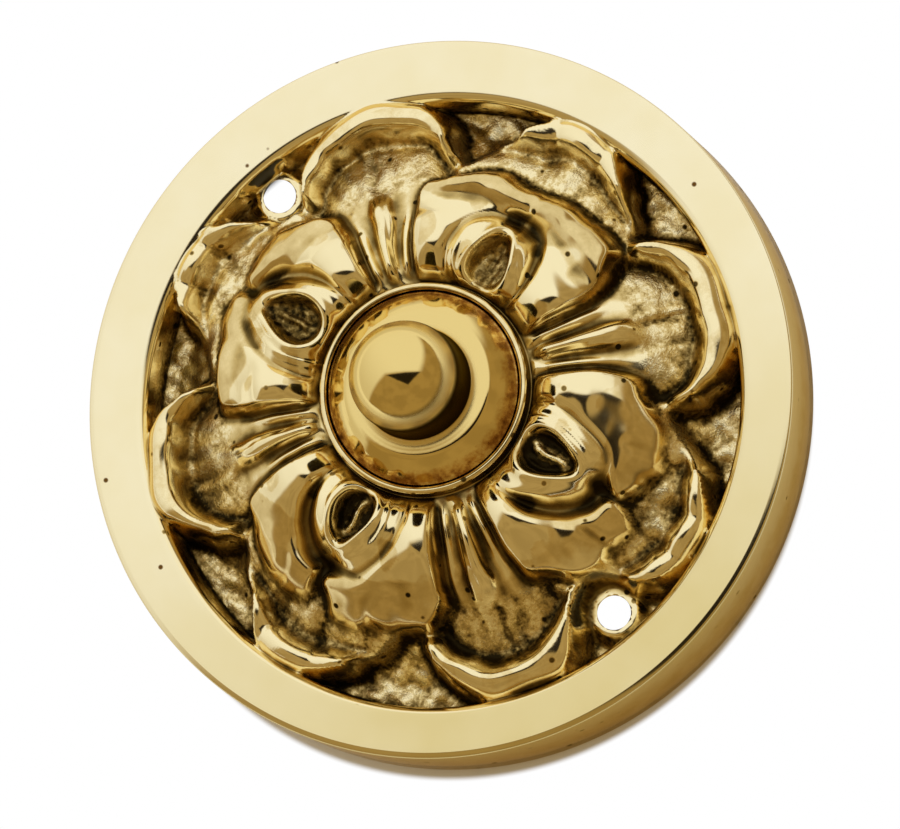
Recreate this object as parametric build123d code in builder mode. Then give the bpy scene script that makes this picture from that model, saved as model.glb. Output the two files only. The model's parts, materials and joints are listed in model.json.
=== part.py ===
from build123d import *

import os
from math import atan2, cos, radians, sin, tan

# A round cast brass doorbell push, lying on its back. Millimetres, +Z is outward.
# The origin is the centre of the plate's back face. The screw holes lie on the Y axis.

# Front plate, overall
plate_r = 38.0
rim_height = 11.0
rim_wall = 2.2
rim_edge_bevel = 0.5
rim_inner_round = 1.2
rim_width = 6.6
floor_top = 5.5
floor_thickness = 2.0

# Collar that guides the button
bore_r = 10.3
bead_width = 1.2
bead_top = 16.5
bead_shoulder = 0.4
collar_groove_width = 0.6
collar_groove_z = 14.3
collar_wall = 2.2
collar_bottom = 12.0

# Carved leaves: the rise is from the floor to the highest crest
crest_rise = 11.7
valley_depth = 0.9
hood_rise = 0.7
quarters = 4
eye_angle = 22.0

# Fixing screw holes
hole_inset = 2.15
hole_r = 1.8
hole_boss_r = 2.8
hole_boss_rise = 0.5

# Button
button_gap = 0.1
button_travel = 1.6
dome_r = 5.6
dome_centre_z = 23.4
neck_angle = 20.0
flare_foot_z = 16.3
flare_sag = 1.0
flange_overhang = 1.5
flange_thickness = 1.5
flange_gap = 0.3
peg_r = 2.0
peg_length = 1.2

# Contact base
base_r = 20.8
base_thickness = 2.6
base_back_z = 2.4
base_edge_chamfer = 0.4
base_screw_inset = 3.3
base_screw_angle = 45.0
back_boss_r = 3.0
boss_thread_depth = 3.5

# Screws, washers and nuts
small_screw_r = 1.25
small_head_r = 2.4
small_head_height = 1.2
slot_width = 0.6
slot_depth = 0.5
screw_tip = 0.6
thread_fit = 0.02
clearance_fit = 0.2
washer_thickness = 0.4
washer_r = 2.9
nut_across_flats = 5.0
nut_height = 1.6

# Contact spring, fixed strip and their rivets
strip_thickness = 0.4
strip_width = 5.0
rivet_inset = 5.2
foot_inner_length = 3.4
foot_rivet_step = 4.6
foot_end_margin = 2.0
spring_flat = 2.6
spring_reach = 3.4
contact_head_r = 1.5
contact_shank_r = 0.7
contact_shank_gap = 0.1
contact_upper_head = 0.4
contact_under_head = 0.8
contact_left_gap = 0.05
foot_rivet_r = 0.8
foot_rivet_head_r = 1.4
foot_rivet_head_height = 0.4

# Places that follow from the sizes above
recess_r = plate_r - rim_width
bead_outer_r = bore_r + bead_width
groove_outer_r = bead_outer_r + collar_groove_width
collar_tube_r = bore_r + collar_wall
carved_band = recess_r - bead_outer_r
under_floor_z = floor_top - floor_thickness
clear_of_crests = floor_top + 2 * crest_rise
hole_y = recess_r - hole_inset
button_r = bore_r - button_gap
flange_r = button_r + flange_overhang
flange_top = collar_bottom - flange_gap
flange_bottom = flange_top - flange_thickness
peg_bottom = flange_bottom - peg_length
base_top = base_back_z + base_thickness
foot_top = base_top + strip_thickness
spring_top = peg_bottom - contact_upper_head
spring_bottom = spring_top - strip_thickness
contact_tip = spring_bottom - contact_under_head
fixed_contact_top = contact_tip - button_travel - contact_left_gap
washer_back_z = base_back_z - washer_thickness
base_screw_place = base_r - base_screw_inset
rivet_distance = base_r - rivet_inset
terminal_distance = rivet_distance - foot_rivet_step
foot_end = rivet_distance + foot_end_margin
foot_inner = terminal_distance - foot_inner_length

os.makedirs("parts", exist_ok=True)


def at(share):
    """Radius at a share of the carved band, 0 at the collar and 1 at the recess wall."""
    return bead_outer_r + carved_band * share


def up(share):
    """Height at a share of the carving's rise, 0 on the floor and 1 on the crests."""
    return floor_top + crest_rise * share


def polar(angle, share):
    """Point on the band, by its angle from a leaf's own axis."""
    return (at(share) * cos(radians(angle)), at(share) * sin(radians(angle)))


def turned(line, lift=0.0):
    """Solid of revolution from the bench up to a line of (band share, rise share)."""
    top = [(at(share), up(rise) + lift) for share, rise in line]
    with BuildPart() as body:
        with BuildSketch(Plane.XZ):
            with BuildLine():
                Polyline(*top, (top[-1][0], 0), (top[0][0], 0), close=True)
            make_face()
        revolve(axis=Axis.Z)
    return body.part


def leaf(outline, form):
    """A leaf: its outline on the plate, cut off along its turned form."""
    with BuildPart() as body:
        with BuildSketch():
            with BuildLine():
                Polyline(*[polar(angle, share) for angle, share in outline], close=True)
            make_face()
        extrude(amount=clear_of_crests)
        add(form, mode=Mode.INTERSECT)
    return body.part


# Leaf with the rolled lip, on the axis of the ribs
lip_line = [(0.32, 0.70), (0.85, 0.31), (0.95, 0.54), (1.02, 0.56), (1.09, 0.47)]
lip_outline = [
    (-15, 0.36), (-22, 0.60), (-20.5, 0.77), (-16.5, 0.93), (-10, 1.03), (0, 1.07),
    (10, 1.03), (16.5, 0.93), (20.5, 0.77), (22, 0.60), (15, 0.36),
]
lip_leaf = leaf(lip_outline, turned(lip_line))

# Rough leaf behind each eye
outer_line = [(0.42, 0.59), (0.86, 0.34), (0.97, 0.52), (1.07, 0.47)]
outer_outline = [
    (-28, 0.48), (-27, 0.66), (-18, 0.80), (-13, 0.95), (-4, 1.06),
    (5, 1.05), (12, 0.93), (16, 0.80), (24, 0.66), (24, 0.48),
]
outer_leaf = leaf(outer_outline, turned(outer_line))

# Inner leaf that carries the eye, with a valley round the hood of the eye
inner_line = [(-0.02, 0.80), (0.10, 0.97), (0.30, 0.99), (0.54, 0.84), (0.78, 0.57)]
inner_outline = [
    (35, -0.01), (35, 0.45), (28, 0.60), (20, 0.69), (12, 0.73), (5, 0.72), (-1, 0.63),
    (-7, 0.73), (-14, 0.73), (-21, 0.69), (-29, 0.59), (-35, 0.45), (-35, -0.01),
]
eye_place = at(0.19)
eye_along = 3.0
eye_across = 2.1
hood_along = 5.6
hood_across = 4.2
valley_width = 1.3
seed_along = 2.3
seed_across = 0.5
eye_floor = up(0.81)
seed_top = up(0.91)

with BuildPart() as hood:
    with BuildSketch():
        with Locations((eye_place, 0)):
            SlotOverall(2 * hood_along, 2 * hood_across)
    extrude(amount=clear_of_crests)
    add(turned(inner_line, hood_rise), mode=Mode.INTERSECT)

with BuildPart() as inner_leaf:
    add(leaf(inner_outline, turned(inner_line)))
    with BuildSketch():
        with Locations((eye_place, 0)):
            SlotOverall(2 * (hood_along + valley_width), 2 * (hood_across + valley_width))
    extrude(amount=clear_of_crests, mode=Mode.SUBTRACT)
    add(leaf(inner_outline, turned(inner_line, -valley_depth)))
    add(hood.part)
    with BuildSketch(Plane.XY.offset(eye_floor)):
        with BuildLine():
            ThreePointArc((eye_place - eye_along, 0), (eye_place, eye_across), (eye_place + eye_along, 0))
            ThreePointArc((eye_place - eye_along, 0), (eye_place, -eye_across), (eye_place + eye_along, 0))
        make_face()
    extrude(amount=crest_rise, mode=Mode.SUBTRACT)
    with BuildSketch(Plane.XY.offset(eye_floor - valley_depth)):
        with Locations((eye_place, 0)):
            Rectangle(2 * seed_along, 2 * seed_across)
    extrude(amount=seed_top - eye_floor + valley_depth)

# Stem of three ribs between two inner leaves
rib_line = [(-0.02, 0.84), (0.20, 0.95), (0.58, 0.66)]
rib_end = 0.56
rib_half_angle = 1.6
rib_step_angle = 5.6

with BuildPart() as rib_stem:
    with BuildSketch():
        for turn in (-rib_step_angle, 0, rib_step_angle):
            with BuildLine():
                Polyline(
                    polar(turn - rib_half_angle, 0), polar(turn - rib_half_angle, rib_end),
                    polar(turn + rib_half_angle, rib_end), polar(turn + rib_half_angle, 0),
                    close=True,
                )
            make_face()
    extrude(amount=clear_of_crests)
    add(turned(rib_line), mode=Mode.INTERSECT)

# Front plate: one casting, hollow at the back
ground_line = [(0.03, 0.80), (0.26, 0.76), (0.52, 0.49), (0.73, 0.18), (0.88, 0.02)]
ground = [(at(share), up(rise)) for share, rise in ground_line]
under = [(at(share), up(rise) - floor_thickness) for share, rise in ground_line[1:-1:2]]
foot_r = at(0.91)
rim_round = [
    (
        recess_r + rim_inner_round * (1 - cos(radians(turn))),
        rim_height - rim_inner_round * (1 - sin(radians(turn))),
    )
    for turn in (0, 45, 90)
]
channel_inner_r = recess_r + rim_wall
channel_outer_r = plate_r - rim_wall
channel_top = rim_height - rim_wall

with BuildPart() as front_plate:
    with BuildSketch(Plane.XZ):
        with BuildLine():
            Polyline(
                (bore_r, 0), (bore_r, bead_top - bead_shoulder), (bore_r + bead_shoulder, bead_top),
                (bead_outer_r - bead_shoulder, bead_top), (bead_outer_r, bead_top - bead_shoulder),
                (bead_outer_r, collar_groove_z), (groove_outer_r, collar_groove_z),
                *ground, (foot_r, floor_top), (recess_r, floor_top), *rim_round,
                (plate_r - rim_edge_bevel, rim_height), (plate_r, rim_height - rim_edge_bevel), (plate_r, 0),
                close=True,
            )
        make_face()
    revolve(axis=Axis.Z)
    with PolarLocations(0, quarters, start_angle=eye_angle):
        add(outer_leaf)
    with PolarLocations(0, quarters, start_angle=eye_angle + 180 / quarters):
        add(lip_leaf)
        add(rib_stem.part)
    with PolarLocations(0, quarters, start_angle=eye_angle):
        add(inner_leaf.part)
    with BuildSketch(Plane.XY.offset(collar_groove_z)):
        Circle(groove_outer_r)
        Circle(bead_outer_r, mode=Mode.SUBTRACT)
    extrude(amount=crest_rise, mode=Mode.SUBTRACT)
    with BuildSketch(Plane.XZ):
        with BuildLine():
            Polyline(
                (0, 0), (0, clear_of_crests), (bore_r, clear_of_crests), (bore_r, collar_bottom),
                (collar_tube_r, collar_bottom), (collar_tube_r, under[0][1]), *under,
                (foot_r, under_floor_z), (channel_inner_r, under_floor_z), (channel_inner_r, channel_top),
                (channel_outer_r, channel_top), (channel_outer_r, 0),
                close=True,
            )
        make_face()
    revolve(axis=Axis.Z, mode=Mode.SUBTRACT)
    with BuildSketch(Plane.XY.offset(under_floor_z)):
        with Locations((0, hole_y), (0, -hole_y)):
            Circle(hole_boss_r)
    extrude(amount=floor_thickness + hole_boss_rise)
    with Locations((0, hole_y, floor_top), (0, -hole_y, floor_top)):
        Hole(hole_r)
    with BuildSketch(Plane.XY.offset(base_top)):
        with PolarLocations(base_screw_place, 2, start_angle=base_screw_angle):
            Circle(back_boss_r)
    extrude(until=Until.NEXT)
    with BuildSketch(Plane.XY.offset(base_top)):
        with PolarLocations(base_screw_place, 2, start_angle=base_screw_angle):
            Circle(small_screw_r + thread_fit)
    extrude(amount=boss_thread_depth + screw_tip, mode=Mode.SUBTRACT)
front_plate.part.label = "front_plate"
export_step(front_plate.part, "parts/front_plate.step")

# Button: turned brass, a dome on a flared foot, with the flange that keeps it behind the collar
neck_r = dome_r * cos(radians(neck_angle))
neck_z = dome_centre_z - dome_r * sin(radians(neck_angle))
flare_mid_r = (button_r + neck_r) / 2 - flare_sag
flare_mid_z = (flare_foot_z + neck_z) / 2 - flare_sag
with BuildPart() as push_button:
    with BuildSketch(Plane.XZ):
        with BuildLine():
            Polyline(
                (0, dome_centre_z + dome_r), (0, peg_bottom), (peg_r, peg_bottom), (peg_r, flange_bottom),
                (flange_r, flange_bottom), (flange_r, flange_top), (button_r, flange_top),
                (button_r, flare_foot_z),
            )
            ThreePointArc((button_r, flare_foot_z), (flare_mid_r, flare_mid_z), (neck_r, neck_z))
            ThreePointArc((neck_r, neck_z), (dome_r, dome_centre_z), (0, dome_centre_z + dome_r))
        make_face()
    revolve(axis=Axis.Z)
push_button.part.label = "push_button"
export_step(push_button.part, "parts/push_button.step")

# Contact base: a moulded insulating disc with its holes
with BuildPart() as contact_base:
    with BuildSketch(Plane.XY.offset(base_back_z)):
        Circle(base_r)
    extrude(amount=base_thickness)
    chamfer(contact_base.edges(), length=base_edge_chamfer)
    with PolarLocations(base_screw_place, 2, start_angle=base_screw_angle):
        Hole(small_screw_r + clearance_fit)
    with Locations((0, terminal_distance), (0, -terminal_distance)):
        Hole(small_screw_r + clearance_fit)
    with Locations((0, rivet_distance), (0, -rivet_distance)):
        Hole(foot_rivet_r + thread_fit)
contact_base.part.label = "contact_base"
export_step(contact_base.part, "parts/contact_base.step")

# Contact spring: a bent leaf, its foot on the base and its free end under the button
spring_slope = atan2(spring_bottom - base_top, foot_inner - spring_flat)
bend_shift = strip_thickness * tan(spring_slope / 2)
with BuildPart() as contact_spring:
    with BuildSketch(Plane.YZ):
        with BuildLine():
            Polyline(
                (foot_end, base_top), (foot_inner, base_top), (spring_flat, spring_bottom),
                (-spring_reach, spring_bottom), (-spring_reach, spring_top),
                (spring_flat + bend_shift, spring_top), (foot_inner + bend_shift, foot_top),
                (foot_end, foot_top),
                close=True,
            )
        make_face()
    extrude(amount=strip_width / 2, both=True)
    with Locations((0, 0, spring_top)):
        Hole(contact_shank_r + contact_shank_gap)
    with Locations((0, terminal_distance, foot_top)):
        Hole(small_screw_r + clearance_fit)
    with Locations((0, rivet_distance, foot_top)):
        Hole(foot_rivet_r + thread_fit)
contact_spring.part.label = "contact_spring"
export_step(contact_spring.part, "parts/contact_spring.step")

# Fixed strip: flat on the base, from its own terminal to under the spring's free end
with BuildPart() as fixed_strip:
    with BuildSketch(Plane.XY.offset(base_top)):
        with BuildLine():
            Polyline(
                (-strip_width / 2, -foot_end), (strip_width / 2, -foot_end),
                (strip_width / 2, spring_flat), (-strip_width / 2, spring_flat),
                close=True,
            )
        make_face()
    extrude(amount=strip_thickness)
    with Locations((0, 0, foot_top)):
        Hole(contact_shank_r + thread_fit)
    with Locations((0, -terminal_distance, foot_top)):
        Hole(small_screw_r + clearance_fit)
    with Locations((0, -rivet_distance, foot_top)):
        Hole(foot_rivet_r + thread_fit)
fixed_strip.part.label = "fixed_strip"
export_step(fixed_strip.part, "parts/fixed_strip.step")

# Contact rivets: one rides on the spring's end, one stands on the fixed strip
with BuildPart() as spring_contact:
    with BuildSketch(Plane.XY.offset(contact_tip)):
        Circle(contact_head_r)
    extrude(amount=contact_under_head)
    with BuildSketch(Plane.XY.offset(spring_bottom)):
        Circle(contact_shank_r)
    extrude(amount=strip_thickness)
    with BuildSketch(Plane.XY.offset(spring_top)):
        Circle(contact_head_r)
    extrude(amount=contact_upper_head)
spring_contact.part.label = "spring_contact"
export_step(spring_contact.part, "parts/spring_contact.step")

with BuildPart() as fixed_contact:
    with BuildSketch(Plane.XY.offset(base_top)):
        Circle(contact_shank_r)
    extrude(amount=strip_thickness)
    with BuildSketch(Plane.XY.offset(foot_top)):
        Circle(contact_head_r)
    extrude(amount=fixed_contact_top - foot_top)
fixed_contact.part.label = "fixed_contact"
export_step(fixed_contact.part, "parts/fixed_contact.step")


def slotted_screw(place_x, place_y, tip_z, name):
    """Cheese head screw put in from the back, its head on a washer."""
    with BuildPart() as screw:
        with BuildSketch(Plane.XY.offset(washer_back_z - small_head_height)):
            with Locations((place_x, place_y)):
                Circle(small_head_r)
        extrude(amount=small_head_height)
        with BuildSketch(Plane.XY.offset(washer_back_z)):
            with Locations((place_x, place_y)):
                Circle(small_screw_r)
        extrude(amount=tip_z - washer_back_z)
        with BuildSketch(Plane.XY.offset(washer_back_z - small_head_height)):
            with Locations((place_x, place_y)):
                Rectangle(3 * small_head_r, slot_width)
        extrude(amount=slot_depth, mode=Mode.SUBTRACT)
    screw.part.label = name
    export_step(screw.part, "parts/" + name + ".step")


def flat_washer(place_x, place_y, name):
    """Washer between a screw head and the back of the base."""
    with BuildPart() as washer:
        with BuildSketch(Plane.XY.offset(washer_back_z)):
            with Locations((place_x, place_y)):
                Circle(washer_r)
                Circle(small_screw_r + clearance_fit, mode=Mode.SUBTRACT)
        extrude(amount=washer_thickness)
    washer.part.label = name
    export_step(washer.part, "parts/" + name + ".step")


def hex_nut(place_x, place_y, name):
    """Nut that clamps a strip's foot to the base."""
    with BuildPart() as nut:
        with BuildSketch(Plane.XY.offset(foot_top)):
            with Locations((place_x, place_y)):
                RegularPolygon(nut_across_flats / 2, 6, major_radius=False)
                Circle(small_screw_r + thread_fit, mode=Mode.SUBTRACT)
        extrude(amount=nut_height)
    nut.part.label = name
    export_step(nut.part, "parts/" + name + ".step")


def foot_rivet(place_y, name):
    """Rivet that keeps a strip's foot from turning."""
    with BuildPart() as rivet:
        with BuildSketch(Plane.XY.offset(base_back_z - foot_rivet_head_height)):
            with Locations((0, place_y)):
                Circle(foot_rivet_head_r)
        extrude(amount=foot_rivet_head_height)
        with BuildSketch(Plane.XY.offset(base_back_z)):
            with Locations((0, place_y)):
                Circle(foot_rivet_r)
        extrude(amount=foot_top - base_back_z)
        with BuildSketch(Plane.XY.offset(foot_top)):
            with Locations((0, place_y)):
                Circle(foot_rivet_head_r)
        extrude(amount=foot_rivet_head_height)
    rivet.part.label = name
    export_step(rivet.part, "parts/" + name + ".step")


# Terminals, one through each strip's foot
terminal_tip = foot_top + nut_height + screw_tip
for side, name in ((1, "spring"), (-1, "strip")):
    slotted_screw(0, side * terminal_distance, terminal_tip, name + "_terminal_screw")
    flat_washer(0, side * terminal_distance, name + "_terminal_washer")
    hex_nut(0, side * terminal_distance, name + "_terminal_nut")
    foot_rivet(side * rivet_distance, name + "_foot_rivet")

# Screws that hold the base to the plate's back bosses
base_screw_tip = base_top + boss_thread_depth
for turn, name in ((0, "upper"), (180, "lower")):
    place_x = base_screw_place * cos(radians(base_screw_angle + turn))
    place_y = base_screw_place * sin(radians(base_screw_angle + turn))
    slotted_screw(place_x, place_y, base_screw_tip, name + "_base_screw")
    flat_washer(place_x, place_y, name + "_base_washer")
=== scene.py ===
import json
from math import cos, pi, radians, sin

import bmesh
import bpy
import numpy as np
from mathutils import Matrix, Vector


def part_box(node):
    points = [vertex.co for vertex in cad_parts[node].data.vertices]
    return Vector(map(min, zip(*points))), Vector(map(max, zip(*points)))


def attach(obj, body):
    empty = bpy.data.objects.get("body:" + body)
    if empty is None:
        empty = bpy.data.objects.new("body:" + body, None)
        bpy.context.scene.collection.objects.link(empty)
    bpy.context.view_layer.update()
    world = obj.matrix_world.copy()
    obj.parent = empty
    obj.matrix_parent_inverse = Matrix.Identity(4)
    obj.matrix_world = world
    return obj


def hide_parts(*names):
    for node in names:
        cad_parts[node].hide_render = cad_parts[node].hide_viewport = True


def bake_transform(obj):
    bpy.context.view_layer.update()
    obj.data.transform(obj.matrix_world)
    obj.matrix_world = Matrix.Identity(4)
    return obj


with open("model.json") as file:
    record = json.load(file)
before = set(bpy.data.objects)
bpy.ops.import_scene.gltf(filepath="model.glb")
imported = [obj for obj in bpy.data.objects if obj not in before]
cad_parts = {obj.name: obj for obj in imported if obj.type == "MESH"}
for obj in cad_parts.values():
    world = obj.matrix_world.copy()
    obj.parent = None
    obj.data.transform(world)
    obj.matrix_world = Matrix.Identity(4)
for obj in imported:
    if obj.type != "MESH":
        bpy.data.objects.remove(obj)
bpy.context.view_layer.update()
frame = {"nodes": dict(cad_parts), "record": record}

# Sizes in millimetres are turned into metres by this
MM = 0.001

# The plate's frame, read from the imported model
plate_low, plate_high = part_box("front_plate")
button_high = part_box("push_button")[1]
PLATE_R = (plate_high[0] - plate_low[0]) / 2 / MM
BUTTON_TOP = button_high[2] / MM

# Plate section. The sunk field was cast a little off the rim's centre
RIM_HEIGHT = 11.0
RIM_WALL = 2.2
RIM_EDGE = 0.34
BEVEL_WIDTH = 0.3
BEVEL_TURN = 14.0
BEVEL_ROUND = 0.2
RIM_INNER_ROUND = 1.2
RECESS_R = 31.4
FIELD_R = 31.95
FIELD_SHIFT = (-0.09, -0.7)
FLOOR_TOP = 5.5
FLOOR_THICKNESS = 2.0
BORE_R = 10.3
BEAD_R = 11.15
BEAD_TOP = 16.5
BEAD_MIDDLE = 10.74
BEAD_HALF = 0.4
GROOVE_R = 11.55
GROOVE_Z = 14.8
COLLAR_TUBE_R = 12.5
COLLAR_BOTTOM = 12.0
HOLE_Y = 29.25
HOLE_R = 1.8
BOSS_TOP = 7.2
HOLE_DRAFT = 0.32
FOOT_ROUND = 0.25
CHANNEL_ROUND = 0.3
FINE_ROUND = 0.1

# Button section
BUTTON_R = 10.2
DOME_R = 5.8
DOME_Z = BUTTON_TOP - DOME_R
FLARE_FOOT = 16.3
NECK_LINE = [(5.78, 22.6), (5.72, 21.9), (5.68, 21.2), (5.7, 20.4), (5.76, 19.7)]
FLARE_LINE = [
    (5.76, 19.7), (5.86, 19.3), (6.04, 18.95), (6.35, 18.74), (6.9, 18.67), (7.5, 18.6), (7.75, 18.48),
    (8.1, 18.2), (8.6, 17.76), (9.2, 17.16), (9.8, 16.5), (10.08, 16.24),
]
# Painted shade round the button's neck: heights of the top and the foot of its dark band
NECK_SHADE_TOP = 24.4
NECK_SHADE_FOOT = 19.1
FLANGE_R = 11.7
FLANGE_TOP = 11.7
FLANGE_BOTTOM = 10.2
PEG_R = 2.0
PEG_BOTTOM = 9.0
FOOT_STAIN = 0.56
HIDDEN_STAIN = 0.42

# Contact spring: in how many pieces its mesh is cut along its length
SPRING_STEPS = 28

# How the four quarters of the carving and their eyes lie, and how softly an inner leaf's edge starts
EYE_ANGLE = 22.0
EYE_R = 15.1
QUARTERS = 4
INNER_BLEND = 0.7

# Mesh of the casting: places round, rows over the carving and over the field's wall, and where these rows end
COLUMNS = 672
RELIEF_ROWS = 76
WALL_ROWS = 14
RELIEF_END = 35.3

# Sides of the plate, in degrees round it: where the rim gets painted shade, where all is a little darker,
# where the outer ground gets painted shade, and where painted light lifts the hollows
RIM_SHADE_SIDE = 252.0
FAINT_DARK_SIDE = 170.0
GROUND_SHADE_SIDE = 257.0
LIGHT_SIDE = 88.0

# How much dirt each kind of place holds, or loses; how much painted light the lit side gets, and how much
# painted shade the outer wall gets
NEAR_DIRT = 1.4
CREASE_DIRT = 3.2
BROAD_DIRT = 0.42
POOL_DIRT = 0.27
GROOVE_DIRT = 0.45
COLLAR_DIRT = 0.3
HOLE_CLEAN = 0.34
LIGHT_SIDE_LIFT = 0.24
WALL_SHADE = 0.27
BEAD_STAIN = 0.22
BORE_STAIN = 0.75

# Tint of the brass at grazing angles
BRASS_TINT = (0.88, 0.70, 0.38, 1)

# Middle of the floor's white round the plate, off centre so that the shadow shows on one side
FLOOR_MIDDLE = (-0.75, -0.62)

# Camera, fitted to the outlines in the photograph
PHOTO_WIDTH = 900
PHOTO_HEIGHT = 829
CAMERA_AZIMUTH = 18.38
CAMERA_ELEVATION = 72.5
CAMERA_ROLL = -57.97
CAMERA_DISTANCE = 0.700
CAMERA_FOCAL_PX = 6604.55
ORIGIN_PX = (462.25, 413.06)
SENSOR_MM = 36.0


def smooth_step(x, width):
    """0 below, 1 above, smooth over a width centred on zero."""
    t = np.clip(x / width + 0.5, 0, 1)
    return t * t * (3 - 2 * t)


def bell(x, width):
    """A rounded hump, one high."""
    return np.exp(-(x / width) ** 2)


def through(x, points):
    """Smooth line through (x, y) points that never overshoots them."""
    px = np.array([p[0] for p in points], float)
    py = np.array([p[1] for p in points], float)
    gap = np.diff(px)
    rise = np.diff(py) / gap
    slope = np.zeros(len(px))
    for i in range(1, len(px) - 1):
        if rise[i - 1] * rise[i] > 0:
            w1 = 2 * gap[i] + gap[i - 1]
            w2 = gap[i] + 2 * gap[i - 1]
            slope[i] = (w1 + w2) / (w1 / rise[i - 1] + w2 / rise[i])
    slope[0] = rise[0]
    slope[-1] = rise[-1]
    x = np.clip(x, px[0], px[-1])
    i = np.clip(np.searchsorted(px, x, side="right") - 1, 0, len(px) - 2)
    t = (x - px[i]) / gap[i]
    return (
        (1 + 2 * t) * (1 - t) ** 2 * py[i]
        + t * (1 - t) ** 2 * gap[i] * slope[i]
        + t * t * (3 - 2 * t) * py[i + 1]
        + t * t * (t - 1) * gap[i] * slope[i + 1]
    )


def ripple(x, y, seed, wavelength, count=9):
    """Uneven smooth waves over the plate, about one high, the same on each run."""
    rng = np.random.RandomState(seed)
    total = np.zeros(np.broadcast(x, y).shape)
    for _ in range(count):
        turn = rng.uniform(0, 2 * pi)
        phase = rng.uniform(0, 2 * pi)
        size = wavelength * rng.uniform(0.7, 1.5)
        total += np.sin(2 * pi * (x * cos(turn) + y * sin(turn)) / size + phase)
    return total / count ** 0.5


# Outline of each inner leaf: angle from its eye's axis, and radius
INNER_EDGES = [
    [
        (-36, 19.5), (-34, 20.8), (-31, 22.2), (-28, 23.2), (-24, 24.5), (-18, 24.8), (-12, 24.6), (-6, 24.2),
        (0, 23.9), (6, 24.2), (14, 23.8), (20, 23.3), (26, 22.9), (31, 22.2), (34, 21.0), (36, 19.5),
    ],
    [
        (-36, 19.8), (-34.5, 20.8), (-32, 22.1), (-28, 23.1), (-22, 23.9), (-15, 24.8), (-8, 25.0),
        (-4.5, 24.5), (-2.5, 23.3), (0, 24.2), (5, 24.7), (10, 24.5), (18, 23.6), (25, 23.4), (30, 23.0),
        (33, 22.0), (36, 20),
    ],
    [
        (-36, 20.8), (-32, 22.6), (-27, 23.3), (-20, 24.7), (-14, 25.7), (-8, 26.1), (-4.4, 25.6),
        (-2.2, 23.2), (0, 23.6), (2.2, 25.3), (5, 25.9), (10, 25.6), (15.5, 24.9), (20, 25.5),
        (25, 25.1), (31, 24.2), (34, 22.8), (36, 21),
    ],
    [
        (-36, 19.2), (-33, 21.7), (-29, 23.0), (-25, 24.2), (-21, 25.4), (-17, 25.9), (-13, 25.6), (-7, 25.7),
        (-3, 24.9), (-1, 24.0), (2, 24.6), (5, 25.6), (9, 26.0), (14, 25.6), (19, 25.4), (23, 24.2),
        (26, 23.1), (30, 22.2), (33, 20.5), (36, 18.3),
    ],
]

# Hood of each eye: half width to either side, its reach outward, and the valley round it
HOOD_LEFT = [4.2, 4.1, 4.0, 3.7]
HOOD_RIGHT = [3.6, 3.8, 3.8, 4.3]
HOOD_OUT = [4.5, 6.3, 5.2, 5.4]
VALLEY_GAP = [0.75, 1.05, 1.15, 1.25]
VALLEY_DEPTH = [0.9, 1.3, 1.6, 1.6]

# Eye hole of each: half width, half length, how far its middle lies out from the hood's
EYE_WIDE = [2.25, 2.45, 2.2, 2.4]
EYE_LONG = [3.0, 3.3, 2.9, 3.1]
EYE_OUT = [-0.2, 1.2, 0.1, 0.3]

# Lip leaf on each stem's axis: where its lip's ends lie to either side
LIP_START = [12.5, 12.5, 9.5, 12.0]
LIP_END = [10.0, 9.0, 12.0, 11.5]

# How far the outer part of each inner leaf bends down, and how deep the valley inside it is
DROOP = [0.0, 0.8, 1.0, 0.8]
CUP = [1.0, 0.7, 0.4, 0.3]

# Each eye's floor and seed: how dark the floor is, and how light, wide, high and long the seed
PIT_DARK = [0.7, 1.1, 1.6, 1.9]
SEED_LIGHT = [-0.25, 0.3, 0.9, 0.98]
SEED_WIDE = [0.28, 0.32, 0.52, 0.68]
SEED_RISE = [-0.3, 0.45, 0.8, 0.8]
SEED_LONG = [0.8, 0.6, 0.75, 0.75]

# Strength of the tarnish film on each inner leaf
FILM = [0.52, 0.56, 0.45, 0.42]


def pick(values, number):
    """One value of four, by quarter."""
    return np.choose(number, [np.float64(value) for value in values])


def smooth_max(a, b, blend):
    """The higher of two surfaces, filleted where they cross."""
    h = np.clip(0.5 + 0.5 * (a - b) / blend, 0, 1)
    return b + (a - b) * h + blend * h * (1 - h)


def ground_form(r):
    """Height of the plain ground under the leaves: high at the collar, flat at the rim."""
    return through(r, [
        (11.0, 14.9), (14, 14.8), (17, 14.2), (20, 12.6), (22.5, 10.6),
        (25, 8.6), (27, 7.0), (28.8, 5.8), (30, 5.5), (34, 5.5),
    ])


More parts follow.
